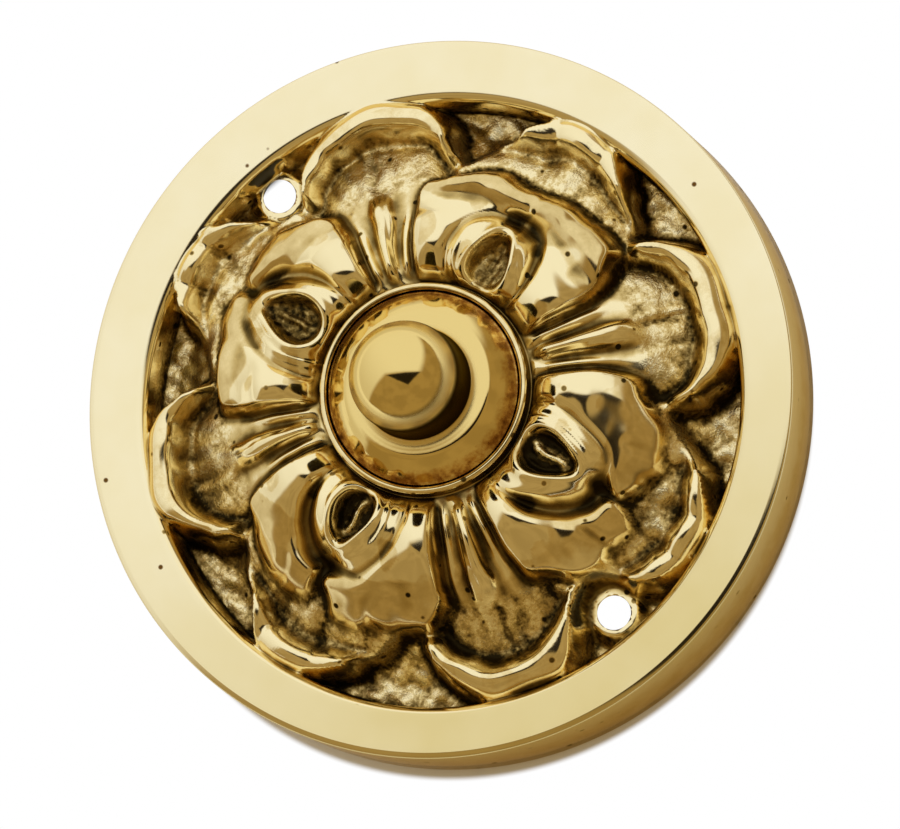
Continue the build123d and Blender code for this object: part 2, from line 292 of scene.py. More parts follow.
def lip_leaf(r, psi, number):
    """Leaf with the rolled lip and its stem of ribs: height and cover."""
    start = pick(LIP_START, number)
    end = pick(LIP_END, number)
    along = np.where(psi < 0, -psi / start, psi / end)
    rr = r + 1.15 * np.clip(along, 0, 1.6) ** 2.6
    z = through(rr, [
        (11.5, 14.3), (13, 14.8), (16, 14.6), (19, 13.5), (21, 12.5), (23, 11.6), (25, 10.8), (27, 9.8),
        (27.9, 9.3), (28.4, 9.5), (29.0, 10.6), (29.6, 11.7), (30.2, 12.1), (31.0, 11.95), (31.9, 11.2),
        (32.6, 9.9), (33.3, 8.2),
    ])
    s = r * np.radians(psi)
    half = through(r, [
        (12, 15), (20, 15), (22, 20), (24, 23), (26, 22), (27.5, 20.5), (29, 18), (30.2, 16), (31.2, 13.5),
        (32.2, 10), (33.2, 5),
    ])
    half = half * np.where(psi < 0, start / 14, end / 13) ** 0.5
    cup = through(r, [(20, 0), (23, 0.35), (26, 0.9), (28.5, 0.7), (30, 0)])
    z = z + cup * ((np.abs(psi) / np.maximum(half, 1)) ** 2 - 0.45)
    bowl = pick([0.4, 1.1, 0.9, 0.45], number)
    z = z - bowl * bell(s - pick([1.0, 1.6, 1.3, 0.8], number), 2.0) * bell(r - 26.2, 2.6)
    crease = through(r, [(22.5, 0.0), (23.5, 0.45), (27, 0.5), (28.6, 0.25), (29.4, 0.0)])
    z = z - 0.45 * crease * bell(s - 0.4, 0.4) + 0.5 * crease * bell(s - 1.2, 0.6)
    z = z - 0.35 * crease * bell(s + 1.9, 0.5)
    reach = through(r, [(11.5, 0), (20.6, 0), (23.9, 1), (34, 1)])
    main = through(r, [(11.4, 0.0), (12.2, 0.4), (14, 1.3), (19, 1.5), (22, 1.3), (24, 1.0)]) * (1 - reach)
    z = z + main * np.exp(-(np.abs(s) / through(r, [(12, 0.62), (16, 0.85), (22, 1.2)])) ** 3.4)
    side = through(r, [(11.4, 0.0), (12.4, 0.3), (14.2, 0.95), (17, 0.9), (20.5, 0.1), (24, 0.0)])
    offset = through(r, [(12, 1.45), (22, 3.0)])
    z = z + side * (bell(s - offset, 0.5) + 0.8 * bell(s + offset, 0.42))
    z = z - 0.35 * (1 - reach) * bell(s + 0.45, 0.16)
    edge = (half - np.abs(psi)) * np.radians(1) * r
    z = z + 0.3 * bell(edge - 0.55, 0.5) * smooth_step(r - 23.5, 2) * smooth_step(29 - r, 2)
    z = z - 0.6 * np.exp(-np.clip(edge, 0, 9) / 0.35)
    smoothness = np.maximum(smooth_step(rr - 28.6, 1.6), smooth_step(22.5 - r, 1.5))
    return z, smooth_step(edge + 0.15, 1.1) * smooth_step(33.2 - rr, 1.1), smoothness


def outer_leaf(r, phi, number):
    """The smaller rough leaf behind each eye."""
    spread = pick([1.0, 0.92, 1.0, 1.08], number)
    left = through(r, [
        (20, 25), (24.5, 24), (26, 19.5), (27.4, 15.5), (28.2, 12.5), (29.5, 11.5), (30.6, 9.0), (31.8, 5.5),
        (32.8, 2),
    ])
    right = through(r, [
        (20, 28), (24.5, 27.5), (26, 24), (27.5, 20), (29, 15.5), (30, 12.5), (31.2, 10), (32.2, 7),
        (33.2, 3),
    ])
    half = np.where(phi > 0, left, right) * spread
    rr = r + 0.011 * (phi + 1) ** 2 * smooth_step(r - 27, 4)
    z = through(rr, [
        (20, 12.6), (23, 11.7), (25, 11.0), (27, 10.1), (28.2, 9.4), (28.9, 9.7), (29.6, 10.8), (30.3, 11.5),
        (31.1, 11.5), (32.0, 10.7), (32.9, 9.3), (33.6, 8),
    ])
    turn = np.radians(phi * pick([33, 38, 36, 42], number) + pick([40, 10, 85, 60], number))
    flute = np.abs(np.cos(turn * 0.5)) ** 0.7
    z = z + through(r, [(24, 0.0), (27, 0.35), (29.5, 0.8), (31, 0.4), (33, 0.1)]) * (1.4 * flute - 0.9)
    edge = (half - np.abs(phi)) * np.radians(1) * r
    z = z + 0.45 * bell(edge - 0.55, 0.45) * smooth_step(r - 25, 2)
    z = z - 0.6 * np.exp(-np.clip(edge, 0, 9) / 0.35)
    return z, smooth_step(edge + 0.25, 1.4), smooth_step(rr - 29.2, 1.8)


def inner_leaf(r, phi, number):
    """Leaf with the eye, two bulging lobes and the valley round the eye's hood."""
    a = np.radians(phi)
    u = r * np.sin(a)
    v = r * np.cos(a) - EYE_R
    arc = r * np.radians(1)
    z = through(r, [
        (11.4, 14.9), (12.1, 15.8), (13.3, 16.7), (15.5, 17.2), (18, 16.9), (20, 16.1), (22, 15.0),
        (24, 13.8), (26, 12.5),
    ])
    lobe_at = np.where(
        phi > 0,
        through(r, [(12, 26.5), (16, 27.0), (20, 24.0), (23, 17), (26, 12)]),
        through(r, [(12, 26.5), (16, 27.0), (20, 25.0), (23, 18), (26, 13)]),
    )
    lobe = (np.abs(phi) - lobe_at) * arc
    bent = through(r, [(11, 0), (17.5, 0), (20, 0.12), (22, 0.45), (24, 1), (26, 1.6)])
    cupped = through(r, [(11, 0), (17, 0), (19, -0.8), (20.2, -0.9), (22.6, 0.8), (23.8, 0.9), (26, 0.5)])
    z = z - pick(DROOP, number) * bent
    z = z + pick(CUP, number) * cupped
    lobe_rise = through(r, [(11.5, 0.0), (13, 0.25), (15, 0.75), (18, 0.8), (21, 0.55), (25, 0.25)])
    z = z + lobe_rise * bell(lobe, through(r, [(12, 1.9), (16, 2.3), (20, 3.6), (25, 4.5)]))
    wide = np.where(u > 0, pick(HOOD_LEFT, number), pick(HOOD_RIGHT, number))
    gap = pick(VALLEY_GAP, number)
    out = pick(HOOD_OUT, number)
    q = np.sqrt((u / (wide + gap)) ** 2 + ((v + 0.3) / (out + gap)) ** 2)
    right = smooth_step(0.6 - u, 3.0)
    depth = 0.5 + pick(VALLEY_DEPTH, number) * right * smooth_step(v + 0.5, 5)
    width = 0.10 + 0.085 * right * smooth_step(v - 0.5, 4)
    z = z - depth * bell(q - 1.0, width) * smooth_step(v + 4.2, 2.5)
    hood = np.sqrt((u / wide) ** 2 + (v / out) ** 2)
    z = z + 0.8 * smooth_step(0.75 - hood, 0.75)
    z = z + 0.22 * bell(hood - 0.93, 0.05) * smooth_step(u - 1.5, 2)
    notch = pick([0.25, 0.7, 1.3, 0.8], number)
    z = z - notch * bell((phi + 1.8) * arc, 0.5) * smooth_step(r - 21.6, 1.6)
    z = z - 0.25 * bell((np.abs(phi) - 12.5) * arc, 0.7) * smooth_step(r - 22.0, 1.5)
    edge = np.choose(number, [through(phi, table) for table in INNER_EDGES]) - r
    flank = (34.3 - np.abs(phi)) * arc
    inward = -np.logaddexp(-1.4 * edge, -1.4 * flank) / 1.4
    z = z - 0.8 * np.exp(-np.clip(inward, 0, 9) / 0.6)
    return z, smooth_step(inward - 0.05, INNER_BLEND), u, v


def eye_place(u, v, number):
    """Place in an eye: how far along it, how far out (1 on its outline), and the ridge of its seed."""
    along = v - pick(EYE_OUT, number)
    taper = 1 - 0.40 * smooth_step(along, 6.0)
    out = np.sqrt((u / (pick(EYE_WIDE, number) * taper)) ** 2 + (along / pick(EYE_LONG, number)) ** 2)
    ridge = bell(u + 0.2 * along - 0.25 * np.sin(1.4 * along) - 0.1, pick(SEED_WIDE, number))
    return along, out, ridge


def cut_eye(z, u, v, number):
    """Almond hole with its seed and a fine lip."""
    along, out, ridge = eye_place(u, v, number)
    z = z + 0.3 * bell(out - 1.36, 0.2)
    inside = smooth_step(1.02 - out, 0.42)
    length = smooth_step(pick(SEED_LONG, number) - np.abs(along) / pick(EYE_LONG, number), 0.45)
    seed = pick(SEED_RISE, number) * ridge * length
    floor = 15.0 - 0.1 * along + 0.12 * ripple(u, along, 31, 1.1) + 0.3 * np.clip(out, 0, 1) ** 2
    return z * (1 - inside) + (floor + seed) * inside


def eye_dirt(x, y, u, v, number):
    """Where an eye's hole is, and how dark its floor is round the seed."""
    along, out, ridge = eye_place(u, v, number)
    hole = smooth_step(0.97 - out, 0.25)
    seed = ridge * smooth_step(pick(SEED_LONG, number) - np.abs(along) / 3, 0.45)
    dark = pick(PIT_DARK, number) * (1 - pick(SEED_LIGHT, number) * seed)
    return hole, hole * (dark + 0.16 * ripple(x, y, 42, 0.9))


def polar(r, theta):
    """Flat place of a radius and an angle in degrees."""
    a = np.radians(theta)
    return r * np.cos(a), r * np.sin(a)


def carving(r, theta):
    """The carved field before the rim and the screw bosses: height, how rough-cast, eye dirt and film."""
    x, y = polar(r, theta)
    bend = smooth_step(r - 14, 8)
    away = smooth_step(r - 20, 5) * smooth_step(29.5 - r, 3)
    r_bent = r + bend * 0.25 * ripple(x, y, 11, 9.0) + away * 0.10 * ripple(x, y, 12, 3.6)
    turn = bend * 0.5 * ripple(x, y, 13, 10.0) + away * 0.5 * ripple(x, y, 14, 3.4)
    shifted = theta + turn - EYE_ANGLE
    phi = (shifted + 45) % 90 - 45
    psi = np.where(phi > 0, phi - 45, phi + 45)
    number = (np.floor((shifted + 45) / 90) % QUARTERS).astype(int)
    stem = (np.floor(shifted / 90) % QUARTERS).astype(int)
    z = ground_form(r) + 0.16 * ripple(x, y, 21, 2.2)
    lip_z, lip_cover, lip_smooth = lip_leaf(r_bent, psi, stem)
    outer_z, outer_cover, outer_smooth = outer_leaf(r_bent, phi, number)
    uneven = ripple(x, y, 22, 3.0)
    grain = ripple(x, y, 23, 1.15, 14)
    lip_z = lip_z + (1 - lip_smooth) * (0.06 * uneven + 0.018 * grain)
    lip_z = lip_z + 0.08 * ripple(x, y, 26, 5.0) * lip_smooth * smooth_step(r - 27, 2)
    outer_z = outer_z + (1 - outer_smooth) * (0.11 * uneven + 0.04 * grain) + 0.06 * uneven * outer_smooth
    lip_low = z + lip_cover * (lip_z - z)
    outer_low = z + outer_cover * (outer_z - z)
    low = smooth_max(lip_low, outer_low, 0.35)
    rough = (1 - lip_cover * lip_smooth * 0.95) * (1 - outer_cover * outer_smooth * 0.85)
    inner_z, inner_cover, u, v = inner_leaf(r_bent, phi, number)
    inner_z = inner_z + 0.13 * ripple(x, y, 24, 6.5) + 0.045 * ripple(x, y, 25, 3.6) + 0.012 * uneven
    z = low + inner_cover * (np.maximum(inner_z, low) - low)
    rough = rough * (1 - inner_cover)
    z = cut_eye(z, u, v, number)
    hole, pit = eye_dirt(x, y, u, v, number)
    reach = smooth_step(r - 20.2 - 1.1 * ripple(x, y, 51, 6.0), 0.5)
    patch = smooth_step(ripple(x, y, 52, 4.2) - 0.75, 0.3)
    film = inner_cover * np.maximum(reach, 0.8 * patch) * pick(FILM, number)
    bright = smooth_step(ripple(x, y, 53, 4.4) - 0.45, 0.6)
    blade = np.maximum(lip_cover * (1 - lip_smooth), 0.7 * outer_cover * (1 - outer_smooth))
    film = film + (1 - inner_cover) * (0.3 * blade + 0.25 * lip_cover * lip_smooth) * (1 - bright)
    return z, np.maximum(rough, 0.8 * hole), pit, film * (1 - hole)


def field_radius(x, y):
    """Distance from the middle of the sunk field, which was cast a little off the turned rim's centre."""
    return np.hypot(x - FIELD_SHIFT[0], y - FIELD_SHIFT[1])


def rim_form(r):
    """The rim's inner rounding and flat face, and nothing inside it."""
    inward = np.clip(FIELD_R + RIM_INNER_ROUND - r, 0, RIM_INNER_ROUND)
    z = RIM_HEIGHT - RIM_INNER_ROUND + np.sqrt(RIM_INNER_ROUND ** 2 - inward ** 2)
    return np.where(r > FIELD_R, z, 0)


def front_height(r, theta):
    """The front between the collar groove and the flat of the rim: height and what its dirt goes by."""
    x, y = polar(r, theta)
    z, rough, pit, film = carving(r, theta)
    z = GROOVE_Z + (z - GROOVE_Z) * smooth_step(r - GROOVE_R, 0.4)
    middle = field_radius(x, y)
    rim = rim_form(middle)
    rough = np.where(rim > z, 0, rough)
    z = np.where(middle > FIELD_R, smooth_max(z, rim, 0.25), z)
    for hole_y in (HOLE_Y, -HOLE_Y):
        d = np.hypot(x, y - hole_y)
        clear = smooth_step(3.25 - d, 0.7) * smooth_step(FIELD_R + 0.2 - middle, 0.4)
        boss = FLOOR_TOP + 0.5 + (BOSS_TOP - FLOOR_TOP - 0.5) * smooth_step(2.9 - d, 0.8)
        z = z * (1 - clear) + boss * clear
        rough = rough * (1 - smooth_step(3.3 - d, 0.8))
    return z, rough, pit, film * (middle < FIELD_R)


def section_rows():
    """Plain parts of the plate's section, from the rim's flat round the back to the collar groove."""
    tilt = radians(BEVEL_TURN)
    edge_r = PLATE_R - RIM_EDGE * (1 - sin(tilt))
    bevel_r = edge_r - BEVEL_WIDTH
    flat_r = bevel_r - BEVEL_ROUND * sin(tilt)
    rows = [((RELIEF_END + flat_r) / 2, RIM_HEIGHT)]
    for k in range(4):
        turn = tilt * k / 3
        rows.append((flat_r + BEVEL_ROUND * sin(turn), RIM_HEIGHT - BEVEL_ROUND * (1 - cos(turn))))
    edge_z = rows[-1][1] - BEVEL_WIDTH * sin(tilt) / cos(tilt)
    for k in range(7):
        turn = tilt + (pi / 2 - tilt) * k / 6
        edge = edge_r + RIM_EDGE * (sin(turn) - sin(tilt))
        rows.append((edge, edge_z - RIM_EDGE * (cos(tilt) - cos(turn))))
    rows += [(PLATE_R, z) for z in (5.0, 0.3)]
    rows += [(PLATE_R - 0.07, 0.07), (PLATE_R - FOOT_ROUND, 0.0)]
    channel_out = PLATE_R - RIM_WALL
    channel_in = RECESS_R + RIM_WALL
    channel_top = RIM_HEIGHT - RIM_WALL
    rows += [(channel_out + FOOT_ROUND, 0.0), (channel_out, FOOT_ROUND)]
    rows += [(channel_out, channel_top - CHANNEL_ROUND), (channel_out - CHANNEL_ROUND, channel_top)]
    rows += [(channel_in + CHANNEL_ROUND, channel_top), (channel_in, channel_top - CHANNEL_ROUND)]
    under_floor = FLOOR_TOP - FLOOR_THICKNESS
    rows += [(channel_in, under_floor + FOOT_ROUND), (channel_in - FOOT_ROUND, under_floor)]
    rows += [(r, under_floor) for r in (31.2, 29.2)]
    rows += [(r, float(ground_form(np.array(r))) - FLOOR_THICKNESS) for r in (27, 24.5, 22, 19.5, 17, 14)]
    rows += [(COLLAR_TUBE_R + 0.2, COLLAR_BOTTOM + 0.6), (COLLAR_TUBE_R, COLLAR_BOTTOM + 0.4)]
    rows += [(COLLAR_TUBE_R, COLLAR_BOTTOM + FINE_ROUND), (COLLAR_TUBE_R - FINE_ROUND, COLLAR_BOTTOM)]
    rows += [(BORE_R + FINE_ROUND, COLLAR_BOTTOM), (BORE_R, COLLAR_BOTTOM + FINE_ROUND)]
    rows += [(BORE_R, 14.0), (BORE_R, BEAD_TOP - 0.9), (BORE_R + 0.12, BEAD_TOP - 0.55)]
    for k in range(7):
        turn = radians(170 - 160 * k / 6)
        rows.append((BEAD_MIDDLE + BEAD_HALF * cos(turn), BEAD_TOP - BEAD_HALF + BEAD_HALF * sin(turn)))
    rows += [(BEAD_R - 0.12, BEAD_TOP - 0.75), (BEAD_R, BEAD_TOP - 1.1), (BEAD_R + 0.02, GROOVE_Z + 0.15)]
    rows += [(BEAD_R + 0.12, GROOVE_Z)]
    return rows


def add_piece(name, mesh):
    """An object for a mesh, put in the scene."""
    piece = bpy.data.objects.new(name, mesh)
    bpy.context.collection.objects.link(piece)
    return piece


def shade_smooth(mesh):
    """Smooth shading on every face."""
    for polygon in mesh.polygons:
        polygon.use_smooth = True


def ring_mesh(name, x, y, heights):
    """Closed ring of quads: the places are rows by columns, and the last row meets the first."""
    rows, columns = heights.shape
    points = np.stack([x, y, heights], -1).reshape(-1, 3) * MM
    i = np.arange(rows)[:, None]
    j = np.arange(columns)[None, :]
    i_next = (i + 1) % rows
    j_next = (j + 1) % columns
    quads = np.stack(
        [i * columns + j, i_next * columns + j, i_next * columns + j_next, i * columns + j_next], -1
    ).reshape(-1, 4)
    mesh = bpy.data.meshes.new(name)
    mesh.from_pydata(points.tolist(), [], quads.tolist())
    mesh.update()
    return mesh


def box_blur(z, rows_wide, columns_wide):
    """Mean over a window of the grid; the columns run round and the rows end."""
    wide = np.concatenate([z[:, -columns_wide:], z, z[:, :columns_wide]], 1)
    total = np.cumsum(np.pad(wide, ((0, 0), (1, 0))), 1)
    span = 2 * columns_wide + 1
    z = (total[:, span:] - total[:, :-span]) / span
    tall = np.pad(z, ((rows_wide, rows_wide), (0, 0)), mode="edge")
    total = np.cumsum(np.pad(tall, ((1, 0), (0, 0))), 0)
    span = 2 * rows_wide + 1
    return (total[span:] - total[:-span]) / span


def ease_steep(height, x, y, radius, middle):
    """Spreads the steepest drops of the carving over a few cells, so that slanting edges have no teeth."""
    soft = box_blur(height, 1, 1)
    steep = smooth_step(np.abs(height - soft) - 0.07, 0.16)
    steep = steep * smooth_step(FIELD_R - 0.2 - middle, 0.4) * smooth_step(radius - 12.6, 0.6)
    for hole_y in (HOLE_Y, -HOLE_Y):
        steep = steep * smooth_step(np.hypot(x, y - hole_y) - 2.6, 0.5)
    return height + (box_blur(soft, 1, 2) - height) * steep


def add_layer(mesh, name, values):
    """Stores one number for each vertex, for the materials."""
    layer = mesh.attributes.new(name, "FLOAT", "POINT")
    layer.data.foreach_set("value", values.ravel().astype(np.float32))


def gather_dirt_and_shade(height, x, y, middle, pit, film):
    """How much dirt each place of the front holds, from the form round it, with painted shade on the side
    away from the light and painted light on the side towards it, and how deep it lies.
    """
    radius = np.hypot(x, y)
    theta = np.degrees(np.arctan2(y, x))
    near = box_blur(box_blur(height, 2, 3), 2, 3) - height
    wide = box_blur(box_blur(height, 6, 9), 6, 9) - height
    crease = box_blur(box_blur(height, 1, 2), 1, 2) - height
    # A little darker towards one side, and painted shade on the outer ground on the side away from the light
    side_darkening = 0.07 * np.cos(np.radians(theta - FAINT_DARK_SIDE))
    side_darkening = side_darkening + smooth_step(radius - 22, 3) * (0.16 * np.cos(np.radians(theta - GROUND_SHADE_SIDE)) - 0.06)
    field = smooth_step(FIELD_R + 0.6 - middle, 0.8)
    depth = np.clip((GROOVE_Z - height) / 9.0, 0, 1) * field
    sunk = smooth_step(depth - 0.62, 0.5)
    broad = np.clip(wide * BROAD_DIRT, -0.6, 0.18)
    form = (near * NEAR_DIRT + crease * CREASE_DIRT + broad) * (1 - 0.55 * sunk)
    dirt_and_shade = np.clip(form + side_darkening - 0.1 * sunk, -0.12, 1) + film
    spots = 0.7 + 0.5 * ripple(x, y, 41, 1.9)
    pools = smooth_step(wide - 1.1 + 0.5 * ripple(x, y, 47, 1.7), 0.35) * smooth_step(radius - 23, 3) * field
    dirt_and_shade = dirt_and_shade + POOL_DIRT * pools
    for hole_y in (HOLE_Y, -HOLE_Y):
        dirt_and_shade = dirt_and_shade - HOLE_CLEAN * smooth_step(5.8 - np.hypot(x, y - hole_y), 2.6)
    # Painted light: the hollows are made lighter on the side the light comes from
    toward_light = np.clip(np.cos(np.radians(theta - LIGHT_SIDE)), 0, 1)
    dirt_and_shade = dirt_and_shade - LIGHT_SIDE_LIFT * toward_light * np.clip(dirt_and_shade, 0, 1) * smooth_step(radius - 13, 3)
    dirt_and_shade = dirt_and_shade + GROOVE_DIRT * smooth_step(GROOVE_R - radius, 0.4)
    dirt_and_shade = dirt_and_shade + COLLAR_DIRT * smooth_step(12.9 - radius, 1.6) * spots
    return dirt_and_shade * (1 - np.clip(2 * pit, 0, 1)) + pit, depth, field


def make_plate():
    """The casting as one closed mesh, with the layers that its patina, its painted shade and its painted
    light go by.
    """
    around = np.arange(COLUMNS)[None, :] * 2 * pi / COLUMNS
    rows = np.concatenate([
        np.linspace(BEAD_R + 0.25, FIELD_R - 0.5, RELIEF_ROWS),
        np.linspace(FIELD_R - 0.3, FIELD_R + RIM_INNER_ROUND + 0.1, WALL_ROWS), [34.2, RELIEF_END],
    ])[:, None]
    follow = smooth_step(rows - 28, 6) * smooth_step(34.3 - rows, 2)
    x = rows * np.cos(around) + FIELD_SHIFT[0] * follow
    y = rows * np.sin(around) + FIELD_SHIFT[1] * follow
    radius = np.hypot(x, y)
    theta = np.degrees(np.arctan2(y, x))
    middle = field_radius(x, y)
    height, rough, pit, film = front_height(radius, theta)
    height = ease_steep(height, x, y, radius, middle)
    dirt_and_shade, depth, field = gather_dirt_and_shade(height, x, y, middle, pit, film)
    section = np.array(section_rows())
    plain_r = section[:, 0:1]
    plain_z = section[:, 1:2]
    none = np.zeros((len(section), COLUMNS))
    mesh = ring_mesh(
        "plate_casting", np.concatenate([x, plain_r * np.cos(around)]),
        np.concatenate([y, plain_r * np.sin(around)]), np.concatenate([height, plain_z + none]),
    )
    collar = (plain_r < BEAD_R + 0.2) & (plain_z > COLLAR_BOTTOM)
    collar_stain = np.where(collar, np.where(plain_z > BEAD_TOP - 0.75, BEAD_STAIN, BORE_STAIN), 0.0)
    # Painted shade on the outer wall, standing in for the shaded floor it mirrors; real stains on the bead
    # and in the bore
    wall = (plain_r > PLATE_R - 0.6) & (plain_z < RIM_HEIGHT - 1.0)
    stain = np.where(wall, WALL_SHADE, collar_stain)
    add_layer(mesh, "dirt_and_shade", np.concatenate([dirt_and_shade, stain + none]))
    add_layer(mesh, "low", np.concatenate([depth, none]))
    add_layer(mesh, "rough", np.concatenate([rough * field, none]))
    front = (plain_z >= RIM_HEIGHT - 1.2) & (plain_r > RELIEF_END)
    add_layer(mesh, "rim", np.concatenate([np.where(middle > FIELD_R + 0.8, 1, 0), front + none]))
    # Painted shade: how far each place lies towards the rim's darker side
    side = np.concatenate([theta, np.degrees(around) + none])
    add_layer(mesh, "dull", np.clip(np.cos(np.radians(side - RIM_SHADE_SIDE)), 0, 1))
    shade_smooth(mesh)
    return add_piece("plate_casting", mesh)


def cut_holes(plate):
    """Drills the two screw holes through the floor."""
    depth = 8.0
    below = 0.5
    wide = HOLE_R + (BOSS_TOP - below) * HOLE_DRAFT
    narrow = wide - depth * HOLE_DRAFT
    for hole_y in (HOLE_Y, -HOLE_Y):
        cutter_mesh = bpy.data.meshes.new("drill")
        drill = bmesh.new()
        bmesh.ops.create_cone(
            drill, cap_ends=True, segments=64, radius1=wide * MM, radius2=narrow * MM, depth=depth * MM,
            matrix=Matrix.Translation((0, hole_y * MM, (below + depth / 2) * MM)),
        )
        drill.to_mesh(cutter_mesh)
        drill.free()
        cutter = add_piece("drill", cutter_mesh)
        cut = plate.modifiers.new("hole", "BOOLEAN")
        cut.operation = "DIFFERENCE"
        cut.solver = "EXACT"
        cut.object = cutter
        bpy.context.view_layer.update()
        bpy.context.view_layer.objects.active = plate
        with bpy.context.temp_override(object=plate, active_object=plate):
            bpy.ops.object.modifier_apply(modifier="hole")
        bpy.data.objects.remove(cutter, do_unlink=True)


def lathe(name, profile, columns):
    """Solid of revolution under a profile that starts and ends on the axis."""
    angles = np.arange(columns) * 2 * pi / columns
    points = [(0, 0, profile[0][1] * MM)]
    for r, z in profile[1:-1]:
        points += [(r * cos(a) * MM, r * sin(a) * MM, z * MM) for a in angles]
    points.append((0, 0, profile[-1][1] * MM))
    rows = len(profile) - 2
    faces = [(0, 1 + j, 1 + (j + 1) % columns) for j in range(columns)]
    for i in range(rows - 1):
        start = 1 + i * columns
        for j in range(columns):
            after = (j + 1) % columns
            faces.append((start + j, start + columns + j, start + columns + after, start + after))
    last = 1 + (rows - 1) * columns
    faces += [(last + j, len(points) - 1, last + (j + 1) % columns) for j in range(columns)]
    mesh = bpy.data.meshes.new(name)
    mesh.from_pydata(points, [], faces)
    mesh.update()
    shade_smooth(mesh)
    return add_piece(name, mesh)


def button_profile():
    """Dome, neck, flare, flange and peg, from the top down."""
    line = [(0, BUTTON_TOP)]
    for k in range(1, 25):
        turn = radians(90 * (1 - k / 24))
        line.append((DOME_R * cos(turn), DOME_Z + DOME_R * sin(turn)))
    line += NECK_LINE[:-1]
    for k in range(41):
        r = FLARE_LINE[0][0] + (FLARE_LINE[-1][0] - FLARE_LINE[0][0]) * (k / 40) ** 1.6
        line.append((r, float(through(np.float64(r), FLARE_LINE))))
    line += [(BUTTON_R - 0.03, FLARE_FOOT - 0.09), (BUTTON_R, FLARE_FOOT - 0.2)]
    line += [(BUTTON_R, 14.2), (BUTTON_R, FLANGE_TOP + 0.05), (BUTTON_R + 0.05, FLANGE_TOP)]
    line += [(FLANGE_R - 0.1, FLANGE_TOP), (FLANGE_R, FLANGE_TOP - 0.1), (FLANGE_R, FLANGE_BOTTOM + 0.1)]
    line += [(FLANGE_R - 0.1, FLANGE_BOTTOM), (PEG_R + 0.1, FLANGE_BOTTOM), (PEG_R, FLANGE_BOTTOM - 0.1)]
    line += [(PEG_R, PEG_BOTTOM + 0.15), (PEG_R - 0.15, PEG_BOTTOM), (0, PEG_BOTTOM)]
    return line


def make_button():
    """The turned button, finer than its CAD mesh, with where its stains lie and where its neck gets painted
    shade.
    """
    piece = lathe("button_turned", button_profile(), 192)
    place = np.empty(len(piece.data.vertices) * 3, np.float32)
    piece.data.vertices.foreach_get("co", place)
    place = place.reshape(-1, 3) / MM
    r = np.hypot(place[:, 0], place[:, 1])
    height = place[:, 2]
    outer = smooth_step(r - 9.1, 1.7) * FOOT_STAIN
    hidden = np.where(height < FLARE_FOOT - 0.3, HIDDEN_STAIN, 0)
    # Painted shade: a near-black band round the neck, under the dome's edge
    neck = smooth_step(NECK_SHADE_TOP - height, 0.5) * smooth_step(height - NECK_SHADE_FOOT, 0.12)
    add_layer(piece.data, "soft", smooth_step(26.4 - height, 1.8) * smooth_step(height - 18.72, 0.1))
    add_layer(piece.data, "stain", np.maximum(outer, hidden))
    add_layer(piece.data, "neck", neck)
    return piece


def make_spring():
    """The bent contact leaf between base and button, subdivided along its length."""
    source = frame["nodes"]["contact_spring"]
    mesh = source.data.copy()
    mesh.name = "contact_leaf"
    piece = add_piece("contact_leaf", mesh)
    work = bmesh.new()
    work.from_mesh(mesh)
    bmesh.ops.remove_doubles(work, verts=work.verts, dist=1e-7)
    low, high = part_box("contact_spring")
    for k in range(1, SPRING_STEPS):
        at_y = low[1] + (high[1] - low[1]) * k / SPRING_STEPS
        geometry = work.verts[:] + work.edges[:] + work.faces[:]
        bmesh.ops.bisect_plane(work, geom=geometry, plane_co=(0, at_y, 0), plane_no=(0, 1, 0), dist=1e-8)
    work.to_mesh(mesh)
    work.free()
    return piece


def math_node(nodes, links, operation, first, second=None, third=None):
    """One math node: each input is a socket or a number."""
    node = nodes.new("ShaderNodeMath")
    node.operation = operation
    for slot, value in enumerate((first, second, third)):
        if value is None:
            continue
        if isinstance(value, (int, float)):
            node.inputs[slot].default_value = value
        else:
            links.new(value, node.inputs[slot])
    return node.outputs[0]


def soft_edge(nodes, links, value, start, end):
    """Smooth ramp from 0 at start to 1 at end."""
    ramp = nodes.new("ShaderNodeMapRange")
    ramp.interpolation_type = "SMOOTHSTEP"
    ramp.inputs["From Min"].default_value = start
    ramp.inputs["From Max"].default_value = end
    links.new(value, ramp.inputs["Value"])
    return ramp.outputs["Result"]


def blend_colours(nodes, links, factor, first, second):
    """Mix of two colours; each is a socket or an RGB triple."""
    mix = nodes.new("ShaderNodeMix")
    mix.data_type = "RGBA"
    links.new(factor, mix.inputs[0])
    for slot, value in ((6, first), (7, second)):
        if isinstance(value, tuple):
            mix.inputs[slot].default_value = (*value, 1)
        else:
            links.new(value, mix.inputs[slot])
    return mix.outputs[2]


def node_tree(name):
    """An empty material with a principled shader: returns material, nodes, links and the shader."""
    material = bpy.data.materials.new(name)
    material.use_nodes = True
    nodes = material.node_tree.nodes
    links = material.node_tree.links
    return material, nodes, links, nodes["Principled BSDF"]


def layer_value(nodes, name):
    """A number stored on the mesh."""
    node = nodes.new("ShaderNodeAttribute")
    node.attribute_name = name
    return node.outputs["Fac"]


def noise_value(nodes, links, size_mm, detail=4.0, roughness=0.55, stretch=None):
    """Noise centred on zero whose features are about size_mm across."""
    place = nodes.new("ShaderNodeTexCoord").outputs["Object"]
    if stretch is not None:
        mapping = nodes.new("ShaderNodeMapping")
        mapping.inputs["Scale"].default_value = stretch
        links.new(place, mapping.inputs["Vector"])
        place = mapping.outputs["Vector"]
    noise = nodes.new("ShaderNodeTexNoise")
    noise.inputs["Scale"].default_value = 1 / (size_mm * MM)
    noise.inputs["Detail"].default_value = detail
    noise.inputs["Roughness"].default_value = roughness
    links.new(place, noise.inputs["Vector"])
    return math_node(nodes, links, "SUBTRACT", noise.outputs["Fac"], 0.5)


